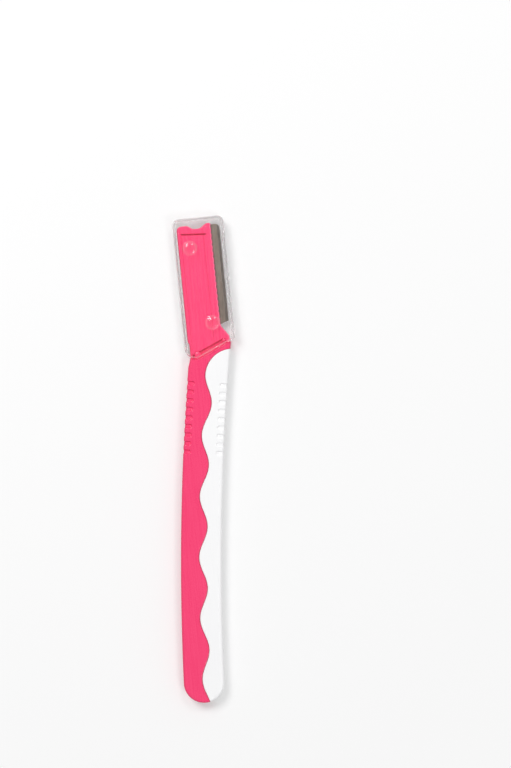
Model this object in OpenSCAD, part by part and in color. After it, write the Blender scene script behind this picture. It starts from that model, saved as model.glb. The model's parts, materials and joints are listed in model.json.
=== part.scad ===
// Eyebrow razor with a two-colour handle, a clamped blade and a clear pull-off cap.
// It lies on its back: the front faces up, and the head is at the far end of its length.
// The handle is drawn first, upright from its round end. The head has its own tilted drawing
// plane, whose zero is the foot of the head's left edge. The last step centres the whole part.

/* [Colours] */
// Colour of the main moulding and of the blade cover
body_colour = "hotpink"; // [hotpink, gold, royalblue, mediumseagreen, orchid]
// Colour of the second moulding on the handle
wave_colour = "white"; // [white, whitesmoke, lightgray]

/* [Handle] */
// Height of the head's foot above the handle's round end
handle_rise = 110; // [95:1:125]
// Width of the handle
handle_w = 12.4; // [11.5:0.1:14]
// Thickness of the handle
handle_t = 4.4; // [4:0.1:4.8]
// Radius of the handle's long, gentle bow
bow_r = 780; // [600:10:1200]
// Height of the middle of the bow above the round end
bow_mid = 43; // [30:1:60]
// Radius of the rounded edges along the handle
edge_r = 1.2; // [0.6:0.1:1.6]
// Depth of the waist in the handle's left edge below the cap
waist_depth = 0.4; // [0.2:0.05:0.8]

/* [Wave between the colours] */
// Length of one full wave
wave_pitch = 18.7; // [14:0.1:24]
// Height of the wave from its middle to its crest
wave_rise = 1.25; // [0.5:0.05:1.6]
// How far the wave's middle lies right of the handle's middle line at the first trough
wave_shift = 0.45; // [0:0.05:1]
// How much further right the wave's middle lies at the round end
wave_drift = 0.5; // [0:0.05:1]
// Depth of the first trough below the head's foot
wave_drop = 9.5; // [8:0.5:20]
// Radius of the large arc that ends the second moulding below the shoulder
lobe_r = 8.4; // [8:0.1:8.8]
// Height of the first trough above the middle of that arc
lobe_drop = 0.9; // [0.4:0.05:1.5]
// Width of the tongue that keys the two mouldings together
tongue_w = 2; // [1:0.1:2.6]
// Thickness of that tongue
tongue_t = 1.5; // [0.8:0.1:2]

/* [Thumb grips] */
// Number of grip notches along each edge
grip_count = 9; // [3:1:12]
// Distance from one grip notch to the next
grip_pitch = 2.6; // [2:0.05:3]
// Depth of the first grip notch below the head's foot
grip_drop = 12.9; // [12:0.1:22]
// Length of a grip notch, inwards from the handle's edge
grip_len = 2.4; // [1.6:0.1:2.8]
// Width of a grip notch along the handle
grip_w = 1.4; // [0.8:0.1:1.8]
// Depth of a grip notch
grip_depth = 0.45; // [0.2:0.05:0.8]

/* [Head] */
// Tilt of the head to the left, in degrees
head_tilt = 5.7; // [3:0.1:8]
// How far the head's left edge stands out past the handle at its foot
head_overhang = 0.8; // [0.4:0.05:1]
// Width of the head without the blade
head_w = 10.5; // [10:0.1:11]
// Height of the head's left hump above its foot
head_h = 35.3; // [34:0.1:40]
// Thickness of the head
head_t = 2.1; // [1.8:0.05:2.3]
// How far the hollow in the head's top edge lies below the left hump
top_dip = 1.1; // [0.5:0.1:1.5]
// How far the right peak of the head's top edge stands above the left hump
top_peak = 0.3; // [0:0.1:0.6]
// How far the shoulder below the blade stands out past the head's right edge
shoulder_out = 2.45; // [2:0.05:2.6]
// Height of the top of the shoulder above the head's foot
shoulder_top = 4.2; // [3.6:0.1:4.6]
// Number of small notches along the head's right edge
notch_count = 16; // [8:1:16]
// Distance from one small notch to the next
notch_pitch = 1.85; // [1.4:0.05:1.9]
// Length of a small notch along the edge
notch_len = 0.7; // [0.4:0.05:1.1]
// Depth of a small notch
notch_depth = 0.35; // [0.2:0.05:0.8]

/* [Diagonal groove] */
// Slant of the groove and of the cap's mouth against the head, in degrees
slant = 23.5; // [18:0.5:28]
// Width of the groove
groove_w = 1.1; // [0.7:0.05:1.3]
// Distance of the groove's left end from the head's left edge
groove_left = 2.7; // [2.5:0.1:3.2]
// Depth of the groove's left end below the head's foot
groove_low = 4.05; // [3.8:0.05:4.2]
// Distance of the groove's right end from the head's left edge
groove_right = 10.7; // [9.5:0.1:11]
// Radius of the round boss at the groove's left end
boss_r = 1; // [0.7:0.05:1.1]
// Radius of the small pip at the groove's right end
pip_r = 0.5; // [0.3:0.05:0.6]
// How far the boss stands above the head's front
boss_rise = 0.25; // [0.1:0.05:0.3]

/* [Blade] */
// Length of the blade's edge
blade_l = 29.8; // [26:0.1:30]
// Width of the blade
blade_w = 8; // [7:0.1:8.5]
// How far the blade stands out of the head
blade_out = 2.6; // [1.6:0.05:2.8]
// Thickness of the blade
blade_t = 0.25; // [0.15:0.01:0.35]
// Height of the blade's lower right corner above the head's foot
blade_foot = 5.4; // [5:0.1:6]
// Slant of the blade's lower edge, in degrees
blade_slant = 19; // [10:1:25]
// Radius of the blade's upper right corner
blade_corner = 1.4; // [0.5:0.1:2]
// Width of the ground edge
grind_w = 0.8; // [0.4:0.05:1.2]
// Length of the cut across the blade's hidden upper corner
blade_cut = 4; // [3:0.1:4.5]
// Radius of the two pins that hold the blade
pin_r = 0.8; // [0.5:0.05:0.9]
// Height of the lower pin above the head's foot
pin_low = 11; // [9:0.1:14]
// Distance between the two pins
pin_pitch = 14; // [8:0.5:16]

/* [Blade cover] */
// Distance of the cover's left edge from the head's left edge
cover_left = 1.2; // [0.8:0.1:1.5]
// Width of the cover
cover_w = 6.8; // [6.4:0.1:7]
// Depth of the slot above the cover below the head's left hump
slot_drop = 2.3; // [2.1:0.1:3]
// Width of that slot
slot_w = 0.5; // [0.3:0.05:0.8]
// Slant of that slot against the head, in degrees
slot_slant = 4; // [0:0.5:6]
// Height of the lengthwise ribs on the cover
rib_rise = 0.08; // [0.04:0.01:0.12]
// Width of a lengthwise rib
rib_w = 0.7; // [0.3:0.05:0.9]
// Number of lengthwise ribs
rib_count = 4; // [2:1:5]

/* [Cap] */
// Thickness of the cap from back to front
cap_t = 5; // [4.9:0.1:6]
// Wall of the cap
cap_wall = 0.75; // [0.6:0.05:0.8]
// Gap between the head's left edge and the cap's inside
left_gap = 0.35; // [0.25:0.05:0.6]
// Gap between the widest point of blade and shoulder and the cap's inside
blade_gap = 0.65; // [0.4:0.05:1]
// Gap between the highest point of head and blade and the cap's inside
top_gap = 1.15; // [0.5:0.05:2]
// Distance from the groove's lower side to the cap's mouth
mouth_ledge = 0.55; // [0.3:0.05:0.6]
// Radius of the cap's two upper corners
cap_corner = 1.8; // [1:0.1:3]
// Radius of the cap's lower left corner
mouth_corner = 3.2; // [2:0.1:3.4]
// Radius of the cap's lower right corner
heel_corner = 1.2; // [0.6:0.1:2]
// Radius of the rounded edges around the cap's front and back
cap_edge_r = 0.7; // [0.3:0.05:0.75]
// Gap between the cap's mouth and the handle
mouth_gap = 0.25; // [0.2:0.05:0.5]
// Radius of the two round domes on the cap's front
dome_r = 2.1; // [1.5:0.1:2.4]
// Height of those domes
dome_rise = 0.5; // [0.2:0.05:0.8]

/* [Hidden] */

// Overrun of every cut past the face that it opens
over = 1;
// Radial clearance of the pins and the edge clearance of the flat pieces in their pockets
fit = 0.05;
// Full turn that the long bow is divided by, fine enough for its short stretch
bow_fn = 2400;
round_fn = 48;
// Points on a rounded corner and on half a wave
corner_steps = 6;
wave_steps = 10;
// Flats on a rounded edge of the handle and rings on a rounded rim of the cap
edge_steps = 4;
rim_steps = 4;

// Straight sizes of the head, in its own plane
head_front = (cap_t + head_t) / 2;
head_back = (cap_t - head_t) / 2;
blade_low = (cap_t - blade_t) / 2;
blade_high = blade_low + blade_t;
peak_v = head_h + top_peak;
dip_v = head_h - top_dip;
edge_u = head_w + blade_out;
back_u = edge_u - blade_w;
blade_top = blade_foot + blade_l;
cover_right = cover_left + cover_w;
slot_v = head_h - slot_drop;
shoulder_u = head_w + shoulder_out;
reach_v = max(peak_v, blade_top);
reach_u = max(edge_u, shoulder_u);

// Places of the head's features as shares of its width and height
hump_shares = [0.33, 0.47];
peak_shares = [0.68, 0.85];
top_radius_shares = [0.09, 0.2, 0.14, 0.2, 0.05];
shoulder_share = 0.15;
upper_dome_shares = [0.336, 0.802];
lower_dome_shares = [0.779, 0.147];
pin_place_share = 0.19;
tongue_end_share = 0.35;

// The pins that hold the blade
pin_u = back_u + pin_place_share * blade_w;
pin_depth = (blade_low - head_back) / 2;
cover_t = head_front - blade_high;

// Foot of the head's left edge, on the handle's drawing
function bow_x(y) = bow_r - sqrt(bow_r * bow_r - (y - bow_mid) * (y - bow_mid));
head_x = bow_x(handle_rise) - handle_w / 2 - head_overhang;
end_y = handle_w / 2;
wave_start = handle_rise - wave_drop;
grip_start = handle_rise - grip_drop;

// Slanted lines of the head: the groove's middle line and the cap's mouth
function groove_v(u) = (u - groove_left) * tan(slant) - groove_low;
mouth_drop = (groove_w / 2 + mouth_ledge) / cos(slant);
function mouth_v(u) = groove_v(u) - mouth_drop;
cover_drop = groove_w / 2 / cos(slant);
function cover_v(u) = groove_v(u) + cover_drop;
function slot_line(u) = slot_v - (u - cover_left) * tan(slot_slant);

// Outside of the cap, in the head's plane
cap_left = -left_gap - cap_wall;
cap_right = reach_u + blade_gap + cap_wall;
cap_top = reach_v + top_gap + cap_wall;

// Box of the whole part, which sets the origin
function turned(p) = [head_x + p[0] * cos(head_tilt) - p[1] * sin(head_tilt),
                      handle_rise + p[0] * sin(head_tilt) + p[1] * cos(head_tilt)];
box_left = turned([cap_left + cap_corner, cap_top - cap_corner])[0] - cap_corner;
box_right = turned([cap_right - heel_corner, mouth_v(cap_right) + heel_corner])[0] + heel_corner;
box_top = turned([cap_right - cap_corner, cap_top - cap_corner])[1] + cap_corner;
box_bottom = end_y - handle_w / 2;

// Unit vector from one point to the next, and the same vector turned a quarter to the left
function aim(a, b) = (b - a) / norm(b - a);
function left_of(d) = [-d[1], d[0]];
function spot(c) = [c[0], c[1]];
function turn_at(a, b, c) =
    let (p = aim(a, b), q = aim(b, c)) atan2(p[0] * q[1] - p[1] * q[0], p * q);
// A corner moved inwards by d from both of its edges; the outline runs anticlockwise
function inset_corner(a, b, c, d) =
    let (m = left_of(aim(a, b)) + left_of(aim(b, c))) b + 2 * d * m / (m * m);
// Arc of radius r that rounds the corner at b
function corner_arc(a, b, c, r) =
    let (p = aim(a, b), bend = turn_at(a, b, c), hand = bend < 0 ? -1 : 1,
         start = b - r * tan(abs(bend) / 2) * p,
         middle = start + hand * r * left_of(p),
         first = atan2(start[1] - middle[1], start[0] - middle[0]))
    [for (i = [0:corner_steps])
        middle + r * [cos(first + bend * i / corner_steps), sin(first + bend * i / corner_steps)]];
// Outline through corners [x, y, radius], drawn in by d
function inset_spots(corners, d) =
    let (n = len(corners))
    [for (i = [0:n - 1])
        inset_corner(spot(corners[(i + n - 1) % n]), spot(corners[i]), spot(corners[(i + 1) % n]), d)];
function rounded(corners, d = 0) =
    let (n = len(corners), spots = inset_spots(corners, d))
    [for (i = [0:n - 1])
        let (a = spots[(i + n - 1) % n], b = spots[i], c = spots[(i + 1) % n],
             r = turn_at(a, b, c) < 0 ? corners[i][2] + d : corners[i][2] - d)
        each corner_arc(a, b, c, r)];

// Outlines in the head's plane, anticlockwise from the lower left
head_corners = [
    [waist_depth, groove_v(0) - handle_w / 2, 0],
    [shoulder_u, groove_v(shoulder_u) - handle_w / 2, 0],
    [shoulder_u, shoulder_share * shoulder_top, shoulder_share * head_w],
    [head_w, shoulder_top, shoulder_top / 2],
    [head_w, peak_v, top_radius_shares[4] * head_w],
    [peak_shares[1] * head_w, peak_v, top_radius_shares[3] * head_w],
    [peak_shares[0] * head_w, dip_v, top_radius_shares[2] * head_w],
    [hump_shares[1] * head_w, dip_v, top_radius_shares[2] * head_w],
    [hump_shares[0] * head_w, head_h, top_radius_shares[1] * head_w],
    [0, head_h, top_radius_shares[0] * head_w],
    [0, 0, waist_depth],
    [waist_depth, -2 * waist_depth, waist_depth]
];
blade_corners = [
    [back_u, blade_foot - blade_w * tan(blade_slant), blade_t],
    [edge_u, blade_foot, blade_t],
    [edge_u, blade_top, blade_corner],
    [back_u + blade_cut, blade_top, blade_t],
    [back_u, blade_top - blade_cut, blade_t]
];
cover_corners = [
    [cover_left, cover_v(cover_left), blade_t],
    [cover_right, cover_v(cover_right), blade_t],
    [cover_right, slot_line(cover_right) - slot_w, blade_t],
    [cover_left, slot_line(cover_left) - slot_w, blade_t]
];
pocket_corners = [
    [cover_left, cover_v(cover_left) - groove_w / 2, blade_t],
    [cover_right, cover_v(cover_right) - groove_w / 2, blade_t],
    [cover_right, slot_line(cover_right), blade_t],
    [cover_left, slot_line(cover_left), blade_t]
];
cap_corners = [
    [cap_left, mouth_v(cap_left), mouth_corner],
    [cap_right, mouth_v(cap_right), heel_corner],
    [cap_right, cap_top, cap_corner],
    [cap_left, cap_top, cap_corner]
];

// The wave on the bow, and the points of its seam: the large arc, then the wave down to a height
function wave_x(y) = bow_x(y) + wave_shift + wave_drift * (wave_start - y) / wave_start
    - wave_rise * cos(360 * (wave_start - y) / wave_pitch);
wave_step = wave_pitch / 2 / wave_steps;
lobe_y = wave_start - lobe_drop;
lobe_x = wave_x(lobe_y) + lobe_r;
function seam(shift, low) = concat(
    [for (i = [0:2 * wave_steps])
        let (a = 70 + 110 * i / (2 * wave_steps))
        [lobe_x + (lobe_r - shift) * cos(a), lobe_y + (lobe_r - shift) * sin(a)]],
    [for (y = [lobe_y - wave_step:-wave_step:low]) [wave_x(y) + shift, y]]);

// Moves its children from the handle's drawing to the part's own frame
module centred() {
    translate([-(box_left + box_right) / 2, -(box_bottom + box_top) / 2, 0]) children();
}

// Puts its children on the head's own tilted plane
module on_head() {
    translate([head_x, handle_rise, 0]) rotate([0, 0, head_tilt]) children();
}

// Puts its children on the handle's middle line at a height, turned with the bow
module on_bow(y) {
    translate([bow_r, bow_mid, 0]) rotate([0, 0, -asin((y - bow_mid) / bow_r)])
        translate([-bow_r, 0, 0]) children();
}

// One side of the handle's section, from its back to its front: flat with rounded edges
function side_section() =
    [for (i = [-edge_steps:edge_steps])
        let (a = 90 * i / edge_steps, z = i < 0 ? edge_r : handle_t - edge_r)
        [handle_w / 2 - edge_r + edge_r * cos(a), z + edge_r * sin(a)]];

// The bowed bar with its round end, before it is cut for the cap. Both turn from one flat plane
// across the handle, so that they join face to face.
module bar() {
    right = side_section();
    left = [for (i = [len(right) - 1:-1:0]) [-right[i][0], right[i][1]]];
    end_angle = asin((end_y - bow_mid) / bow_r);
    top_angle = asin((handle_rise + head_w / 2 - bow_mid) / bow_r);
    on_bow(end_y) {
        translate([bow_r, 0, 0]) mirror([1, 0, 0])
            rotate_extrude(angle = top_angle - end_angle, $fn = bow_fn)
                translate([bow_r, 0]) polygon(concat(right, left));
        rotate([0, 0, 180]) rotate_extrude(angle = 180, $fn = 2 * round_fn)
            polygon(concat([[0, 0]], right, [[0, handle_t]]));
    }
}

// Straight-sided slot with round ends, from the origin along the first axis
module slot(length, width) {
    for (x = [0, length]) translate([x, 0]) circle(d = width, $fn = round_fn);
    translate([0, -width / 2]) square([length, width]);
}

// The thumb notches of one edge, on the front and on the back
module grips() {
    for (i = [0:grip_count - 1], side = [0, 1])
        on_bow(grip_start - i * grip_pitch)
            translate([-handle_w / 2 - over, 0, side * (handle_t - grip_depth + over) - over])
                linear_extrude(height = grip_depth + over)
                    slot(grip_len - grip_w / 2 + over, grip_w);
}

// The handle's full thickness: the bar, cut round the cap's mouth and at the waist
module handle_solid() {
    waist_half = grip_pitch + grip_w;
    waist_r = waist_half * waist_half / 2 / waist_depth;
    waist_y = handle_rise - groove_low;
    difference() {
        difference() {
            bar();
            on_bow(waist_y) translate([waist_depth - handle_w / 2 - waist_r, 0, -over])
                cylinder(r = waist_r, h = handle_t + 2 * over, $fn = 4 * round_fn);
        }
        on_head() translate([0, 0, -over]) linear_extrude(height = handle_t + 2 * over)
            polygon(rounded(cap_corners, -mouth_gap));
    }
}

// Everything right of the wave, as one plain block
module wave_block(z, height) {
    translate([0, 0, z]) linear_extrude(height = height)
        polygon(concat(seam(0, -over), [[2 * handle_w, -over]]));
}

// The tongue inside the handle: a band that follows the wave on its right side
module tongue() {
    low = end_y + tongue_end_share * handle_w;
    inner = [for (p = seam(tongue_w, low)) if (p[0] < bow_x(p[1]) + handle_w / 2 - edge_r) p];
    outer = [for (p = seam(-fit, low)) if (p[1] <= inner[0][1]) p];
    translate([0, 0, (handle_t - tongue_t) / 2]) linear_extrude(height = tongue_t)
        polygon(concat(outer, [for (i = [len(inner) - 1:-1:0]) inner[i]]));
}

// Round dome of a given radius and height
module dome(r, rise) {
    ball = (r * r + rise * rise) / 2 / rise;
    rotate_extrude($fn = round_fn) intersection() {
        translate([0, rise - ball]) circle(r = ball, $fn = 4 * round_fn);
        square([r, rise]);
    }
}

module handle_body() color(body_colour) centred() {
    difference() {
        difference() {
            handle_solid();
            grips();
        }
        wave_block(-over, handle_t + 2 * over);
    }
    difference() {
        on_head() difference() {
            translate([0, 0, head_back]) linear_extrude(height = head_t)
                polygon(rounded(head_corners));
            head_cuts();
        }
        wave_block(-over, cap_t + 2 * over);
    }
    tongue();
    on_head() {
        translate([groove_left, groove_v(groove_left), cap_t / 2]) {
            cylinder(r = boss_r, h = head_t / 2, $fn = round_fn);
            translate([0, 0, head_t / 2]) dome(boss_r, boss_rise);
        }
        translate([groove_right, groove_v(groove_right), cap_t / 2]) {
            cylinder(r = pip_r, h = head_t / 2, $fn = round_fn);
            translate([0, 0, head_t / 2]) dome(pip_r, boss_rise / 2);
        }
    }
}

// What is cut from the head: the blade's slit, the cover's pocket, the groove and the notches
module head_cuts() {
    groove_len = (groove_right - groove_left) / cos(slant);
    translate([0, 0, blade_low]) linear_extrude(height = blade_t) {
        polygon(rounded(blade_corners, -fit));
        translate([head_w, blade_foot]) square([over, blade_l]);
    }
    translate([0, 0, blade_high]) linear_extrude(height = head_t)
        polygon(rounded(pocket_corners, -fit));
    translate([groove_left, groove_v(groove_left), blade_high]) rotate([0, 0, slant])
        linear_extrude(height = head_t) slot(groove_len, groove_w);
    for (i = [0:notch_count - 1])
        translate([head_w - notch_depth, blade_foot + notch_pitch / 2 + i * notch_pitch, head_back - over])
            cube([notch_depth + over, notch_len, head_t + 2 * over]);
    for (i = [0, 1])
        translate([pin_u, pin_low + i * pin_pitch, blade_low - pin_depth])
            cylinder(r = pin_r + fit, h = pin_depth + over, $fn = round_fn);
}

module handle_wave() color(wave_colour) centred() {
    difference() {
        intersection() {
            handle_solid();
            wave_block(-over, handle_t + 2 * over);
        }
        tongue();
        mirrored_grips();
    }
}

// The same notches on the right edge
module mirrored_grips() {
    for (i = [0:grip_count - 1], side = [0, 1])
        on_bow(grip_start - i * grip_pitch)
            translate([handle_w / 2 + over, 0, side * (handle_t - grip_depth + over) - over])
                mirror([1, 0, 0]) linear_extrude(height = grip_depth + over)
                    slot(grip_len - grip_w / 2 + over, grip_w);
}

module blade() color("silver") centred() on_head() {
    difference() {
        intersection() {
            translate([0, 0, blade_low]) linear_extrude(height = blade_t) polygon(rounded(blade_corners));
            // Section of the blade with its edge ground from both sides
            translate([back_u - over, blade_top + over, blade_low]) rotate([90, 0, 0])
                linear_extrude(height = blade_l + blade_w + 2 * over)
                    polygon([[0, 0], [blade_w + over - grind_w, 0], [blade_w + over, blade_t / 2],
                             [blade_w + over - grind_w, blade_t], [0, blade_t]]);
        }
        for (i = [0, 1])
            translate([pin_u, pin_low + i * pin_pitch, blade_low - over])
                cylinder(r = pin_r + fit, h = blade_t + 2 * over, $fn = round_fn);
    }
}

module blade_cover() color(body_colour) centred() on_head() {
    rib_step = cover_w / (rib_count + 1);
    difference() {
        translate([0, 0, blade_high]) linear_extrude(height = cover_t) polygon(rounded(cover_corners));
        translate([groove_left, groove_v(groove_left), blade_high - over])
            cylinder(r = boss_r + fit, h = head_t + over, $fn = round_fn);
    }
    for (i = [0, 1])
        translate([pin_u, pin_low + i * pin_pitch, blade_low - pin_depth + fit])
            cylinder(r = pin_r, h = pin_depth + blade_t + cover_t / 2 - fit, $fn = round_fn);
    for (i = [1:rib_count])
        translate([cover_left + i * rib_step - rib_w / 2, cover_v(cover_right) + groove_w, head_front])
            cube([rib_w, slot_line(cover_right) - cover_v(cover_right) - 2 * groove_w, rib_rise]);
}

module clear_cap() color("lightcyan", 0.5) centred() on_head() {
    difference() {
        cap_shell();
        // Room for the head, open at the mouth
        translate([cap_left + cap_wall, mouth_v(cap_left) - over, cap_wall])
            cube([cap_right - cap_left - 2 * cap_wall,
                  cap_top - cap_wall - mouth_v(cap_left) + over, cap_t - 2 * cap_wall]);
    }
    for (place = [upper_dome_shares, lower_dome_shares])
        translate([place[0] * head_w, place[1] * head_h, cap_t]) dome(dome_r, dome_rise);
}

// Outside of the cap: rings of its outline, drawn in along a quarter circle at front and back
module cap_shell() {
    back_rings = [for (i = [0:rim_steps])
        let (a = 90 * i / rim_steps) [cap_edge_r * (1 - sin(a)), cap_edge_r * (1 - cos(a))]];
    front_rings = [for (i = [rim_steps:-1:0]) [back_rings[i][0], cap_t - back_rings[i][1]]];
    rings = concat(back_rings, front_rings);
    outlines = [for (ring = rings) [for (p = rounded(cap_corners, ring[0])) [p[0], p[1], ring[1]]]];
    n = len(outlines[0]);
    last = len(rings) - 1;
    polyhedron(
        points = [for (outline = outlines) each outline],
        faces = concat(
            [[for (i = [0:n - 1]) i]],
            [[for (i = [n - 1:-1:0]) last * n + i]],
            [for (k = [0:last - 1], i = [0:n - 1])
                let (j = (i + 1) % n) each [[k * n + i, (k + 1) * n + i, (k + 1) * n + j],
                                            [k * n + i, (k + 1) * n + j, k * n + j]]]));
}

handle_body();
handle_wave();
blade();
blade_cover();
clear_cap();
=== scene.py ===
import json
import math
import bmesh
import bpy
import numpy as np
from mathutils.geometry import delaunay_2d_cdt
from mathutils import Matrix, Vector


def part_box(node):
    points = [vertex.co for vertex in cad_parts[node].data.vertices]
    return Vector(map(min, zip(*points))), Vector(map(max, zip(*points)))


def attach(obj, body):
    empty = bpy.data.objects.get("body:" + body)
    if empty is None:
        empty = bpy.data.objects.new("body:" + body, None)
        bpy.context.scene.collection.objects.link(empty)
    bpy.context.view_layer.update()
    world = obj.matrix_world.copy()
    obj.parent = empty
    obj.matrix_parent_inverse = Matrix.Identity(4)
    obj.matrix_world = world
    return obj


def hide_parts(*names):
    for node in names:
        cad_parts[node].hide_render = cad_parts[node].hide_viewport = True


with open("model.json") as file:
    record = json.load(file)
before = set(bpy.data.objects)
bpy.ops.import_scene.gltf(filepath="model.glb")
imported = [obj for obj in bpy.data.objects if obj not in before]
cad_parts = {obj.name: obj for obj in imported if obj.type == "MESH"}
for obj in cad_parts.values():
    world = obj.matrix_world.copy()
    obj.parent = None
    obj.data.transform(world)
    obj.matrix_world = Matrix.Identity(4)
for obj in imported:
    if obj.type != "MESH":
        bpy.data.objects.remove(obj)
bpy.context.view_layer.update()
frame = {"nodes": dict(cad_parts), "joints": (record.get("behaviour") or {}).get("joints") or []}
print("frame loaded:", ", ".join(sorted(frame["nodes"])))

mm = 0.001
nearZero = 1e-9  # keeps a division by a length safe
border = 0.03  # flat rim between a rounded edge and the fill of its face

# Sizes are in mm. The handle is drawn upright from its round end, and the head in a tilted plane
# (u, v), from the foot of its left edge.
handle = {
    "rise": 110.0, "width": 12.4, "thickness": 4.4, "overhang": 0.8, "skin": 0.02,
    "bowRadius": 780.0, "bowMiddle": 43.0,
    "waistDepth": 0.4, "waistHeight": 105.95, "waistHalf": 4.0,
    # edgeLine and mouthLine: how far painted shade reaches in from the rounded edge and from the cap's mouth;
    # mouthShade: how dark that painted shade is below the mouth
    "edge": 0.75, "edgeLine": 0.8, "mouthEdge": 0.2, "mouthLine": 0.35, "mouthShade": 0.7,
}
# The head's edges get a painted highlight where they face right and painted shade, at the given share, where
# they face left. The three shades at the end are painted shade at the foot of the recess's walls, on the
# slot's floor and on the groove's floor.
head = {
    "width": 10.5, "height": 35.3, "thickness": 2.1, "edge": 0.4, "paintedLeftShade": 0.45,
    "peak": 0.3, "dip": 1.1, "humps": (0.85, 0.33), "dips": (0.68, 0.47),
    "crownRadii": (0.5, 2.1, 1.5, 1.5, 2.1, 1.3, 0.4, 0.4),
    "shoulder": 2.45, "shoulderTop": 4.2, "shoulderLow": 0.15, "footIn": 0.15, "footDrop": 0.5,
    "footRadii": (0.2, 0.3, 1.5, 2.1),
    "notches": 16, "notchPitch": 1.85, "notchLength": 0.7, "notchDepth": 0.15, "notchStart": 5.4,
    "notchLean": 0.05, "notchRadii": (0.1, 0.12, 0.12, 0.1),
    "slitGap": 0.04, "slitDepth": 0.6, "slitReach": 0.5, "slitBelow": 0.6,
    "recess": 0.7, "rimEdge": 0.12, "wallShade": 0.55, "slotShade": 0.5, "grooveShade": 0.2,
}
groove = {"slant": 23.5, "width": 1.1, "left": 2.7, "low": 4.05, "right": 11.05}
blade = {
    "out": 2.6, "width": 8.0, "foot": 5.4, "length": 29.8, "slant": 19.0, "corner": 1.4,
    "grind": 0.8, "cut": 4.0, "blunt": 0.015,
}
cap = {
    "wall": 0.75, "leftGap": 0.35, "bladeGap": 0.65, "topGap": 1.15, "ledge": 0.55,
    "corner": 1.8, "mouthCorner": 3.2, "heelCorner": 1.2, "edge": 0.7, "mouthGap": 0.25,
    "skin": 0.01, "inner": 0.4, "clearDrop": 0.06,
    "domes": ((0.336, 0.802), (0.779, 0.147)), "domeRadius": 2.1, "domeRise": 0.5, "domeSink": 0.002,
    "domeFoot": (0.25, 0.17, 0.11, 0.06, 0.02, -0.03, -0.08, -0.16, -0.28),
    "domeShade": ((-1.1, -0.5, -0.1, 0.05, 0.2), (0.15, 0.35, 0.75, 0.75, 0)),
}


def boxOf(node):
    # A node's lowest and highest corners in mm.
    return [np.array(corner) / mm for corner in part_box(node)]


pull = frame["joints"][0]["axis"]  # the cap slides along the head
tilt = math.atan2(-pull[0], pull[1])
cosT, sinT = math.cos(tilt), math.sin(tilt)
bladeLow, bladeHigh = (corner[2] for corner in boxOf("blade"))
capFront = boxOf("clear_cap")[1][2] - cap["domeRise"]
middleZ = capFront / 2
headFront = middleZ + head["thickness"] / 2
headBack = middleZ - head["thickness"] / 2

slantAngle = math.radians(groove["slant"])
slope = math.tan(slantAngle)
secant = 1 / math.cos(slantAngle)
edgeU = head["width"] + blade["out"]
capLeft = -cap["leftGap"] - cap["wall"]
capRight = edgeU + cap["bladeGap"] + cap["wall"]
capTop = head["height"] + head["peak"] + cap["topGap"] + cap["wall"]


def grooveV(u):
    # Middle line of the diagonal groove: straight, at its slant.
    return (u - groove["left"]) * slope - groove["low"]


def mouthV(u):
    # The cap's mouth: a ledge below the groove's lower side.
    return grooveV(u) - (groove["width"] / 2 + cap["ledge"]) * secant


def bowX(y):
    # Middle line of the handle: an arc of the bow's radius, x = R - sqrt(R^2 - (y - mid)^2).
    return bowRadius - np.sqrt(bowRadius ** 2 - (y - bowMiddle) ** 2)


bowRadius, bowMiddle = handle["bowRadius"], handle["bowMiddle"]
half = handle["width"] / 2 - handle["skin"]
drawnX = bowX(handle["rise"]) - handle["width"] / 2 - handle["overhang"]


def onDrawing(u, v):
    # Place of (u, v) on the handle's drawing: a turn by the tilt and a shift to the head's foot.
    return drawnX + u * cosT - v * sinT, handle["rise"] + u * sinT + v * cosT


# The part's origin is the middle of the box round the cap and the round end
heelV = mouthV(capRight) + cap["heelCorner"]
boxLeft = onDrawing(capLeft + cap["corner"], capTop - cap["corner"])[0] - cap["corner"]
boxRight = onDrawing(capRight - cap["heelCorner"], heelV)[0] + cap["heelCorner"]
boxTop = onDrawing(capRight - cap["corner"], capTop - cap["corner"])[1] + cap["corner"]
originX, originY = -(boxLeft + boxRight) / 2, -boxTop / 2
footX, footY = drawnX + originX, handle["rise"] + originY
print(f"foot of the head at {footX:.3f}, {footY:.3f} mm, tilt {math.degrees(tilt):.2f} degrees")


def headPlace(points):
    # Place on the part of the head's points (u, v, z): the same turn, and a shift to the foot.
    u, v, z = np.moveaxis(np.asarray(points, float), -1, 0)
    return np.stack([footX + u * cosT - v * sinT, footY + u * sinT + v * cosT, z], -1)


# Lines and outlines

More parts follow.
